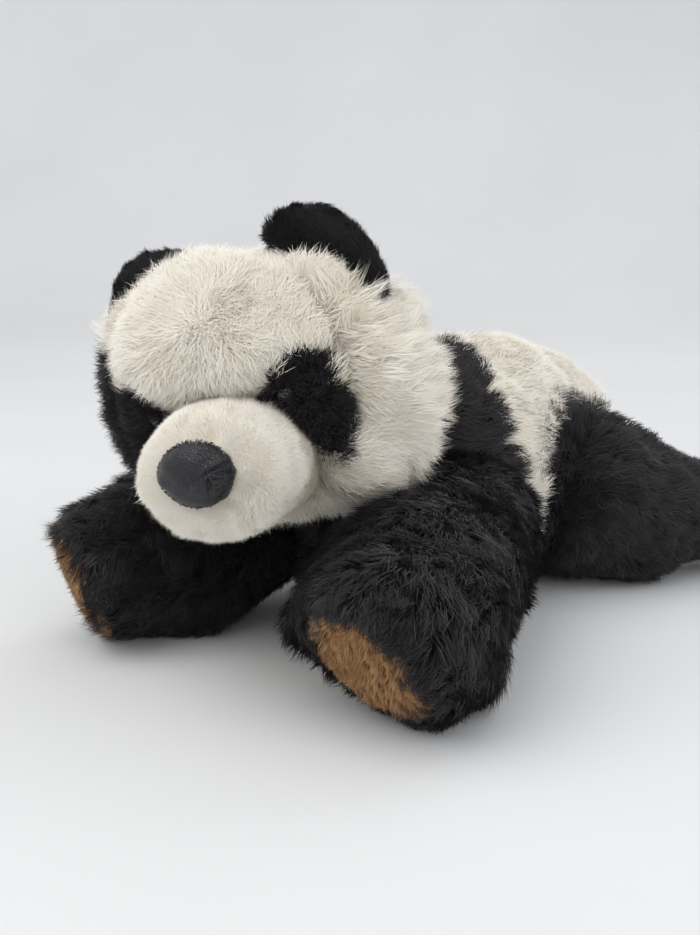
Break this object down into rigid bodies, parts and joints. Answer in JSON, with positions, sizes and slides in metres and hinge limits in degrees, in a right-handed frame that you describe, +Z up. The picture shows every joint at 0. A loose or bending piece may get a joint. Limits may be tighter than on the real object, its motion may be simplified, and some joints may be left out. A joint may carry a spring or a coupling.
{
  "type": "plush panda",
  "caption": "Long-pile plush panda lying on its belly, head raised and turned, with stub muzzle, padded nose, round ears, tan-soled forelegs and splayed hind legs.",
  "frame": {"origin": "middle of the flat of the belly, where the toy rests on the floor", "axes": "+Z up, -Y the way the toy faces, +X its left side"},
  "size_m": [0.2916, 0.3703, 0.191],
  "materials": {
    "cream_plush": "long-pile plush",
    "muzzle_plush": "short-pile plush",
    "black_plush": "long-pile plush",
    "tan_plush": "short ribbed pile",
    "leatherette": "satin",
    "eye_plastic": "gloss",
    "wadding": "loose polyester fibre",
    "nylon": "matte"
  },
  "bodies": {
    "torso": {"back_panel": "cream_plush", "belly_panel": "cream_plush", "body_stuffing": "wadding", "rump_panel": "cream_plush", "shoulder_yoke": "black_plush"},
    "neck": {"neck_stuffing": "wadding"},
    "head": {"chin_panel": "cream_plush", "forehead_panel": "cream_plush", "head_back_panel": "cream_plush", "head_stuffing": "wadding", "left_cheek_panel": "cream_plush", "left_eye": "eye_plastic", "left_eye_patch": "black_plush", "left_eye_washer": "nylon", "left_jowl_panel": "cream_plush", "muzzle_cover": "muzzle_plush", "muzzle_stuffing": "wadding", "nose_cover": "leatherette", "nose_padding": "wadding", "right_cheek_panel": "cream_plush", "right_eye": "eye_plastic", "right_eye_patch": "black_plush", "right_eye_washer": "nylon", "right_jowl_panel": "cream_plush"},
    "left_ear": {"left_ear_back": "black_plush", "left_ear_front": "black_plush"},
    "right_ear": {"right_ear_back": "black_plush", "right_ear_front": "black_plush"},
    "left_foreleg": {"left_foreleg_cover": "black_plush", "left_foreleg_pad": "tan_plush", "left_foreleg_stuffing": "wadding"},
    "right_foreleg": {"right_foreleg_cover": "black_plush", "right_foreleg_pad": "tan_plush", "right_foreleg_stuffing": "wadding"},
    "left_hind_leg": {"left_hind_leg_cover": "black_plush", "left_hind_leg_pad": "tan_plush", "left_hind_leg_stuffing": "wadding"},
    "right_hind_leg": {"right_hind_leg_cover": "black_plush", "right_hind_leg_pad": "tan_plush", "right_hind_leg_stuffing": "wadding"},
    "tail": {"tail": "cream_plush"}
  },
  "joints": [
    {"name": "neck_yaw", "type": "hinge", "parent": "torso", "child": "neck", "pos_m": [0, -0.083, 0.09], "axis": [0, 0, 1], "range_deg": [-13, 16]},
    {"name": "neck_nod", "type": "hinge", "parent": "neck", "child": "head", "pos_m": [0, -0.083, 0.09], "axis": [-1, 0, 0], "range_deg": [0, 14]},
    {"name": "left_ear_fold", "type": "hinge", "parent": "head", "child": "left_ear", "pos_m": [0.03216, -0.1424, 0.176], "axis": [0.9118, 0.2273, -0.342], "range_deg": [-10, 16]},
    {"name": "right_ear_fold", "type": "hinge", "parent": "head", "child": "right_ear", "pos_m": [-0.04405, -0.1614, 0.15786], "axis": [0.674, 0.1681, 0.7193], "range_deg": [-10, 16]},
    {"name": "left_shoulder", "type": "hinge", "parent": "torso", "child": "left_foreleg", "pos_m": [0.052, -0.064, 0.051], "axis": [0, 0, 1], "range_deg": [-3, 30]},
    {"name": "right_shoulder", "type": "hinge", "parent": "torso", "child": "right_foreleg", "pos_m": [-0.052, -0.064, 0.049], "axis": [0, 0, 1], "range_deg": [-30, 3]},
    {"name": "left_hip", "type": "hinge", "parent": "torso", "child": "left_hind_leg", "pos_m": [0.052, 0.049, 0.043], "axis": [0, 0, 1], "range_deg": [-20, 14]},
    {"name": "right_hip", "type": "hinge", "parent": "torso", "child": "right_hind_leg", "pos_m": [-0.052, 0.049, 0.043], "axis": [0, 0, 1], "range_deg": [-14, 20]},
    {"name": "tail_flap", "type": "hinge", "parent": "torso", "child": "tail", "pos_m": [0, 0.12057, 0.08187], "axis": [1, 0, 0], "range_deg": [-12, 12]}
  ]
}
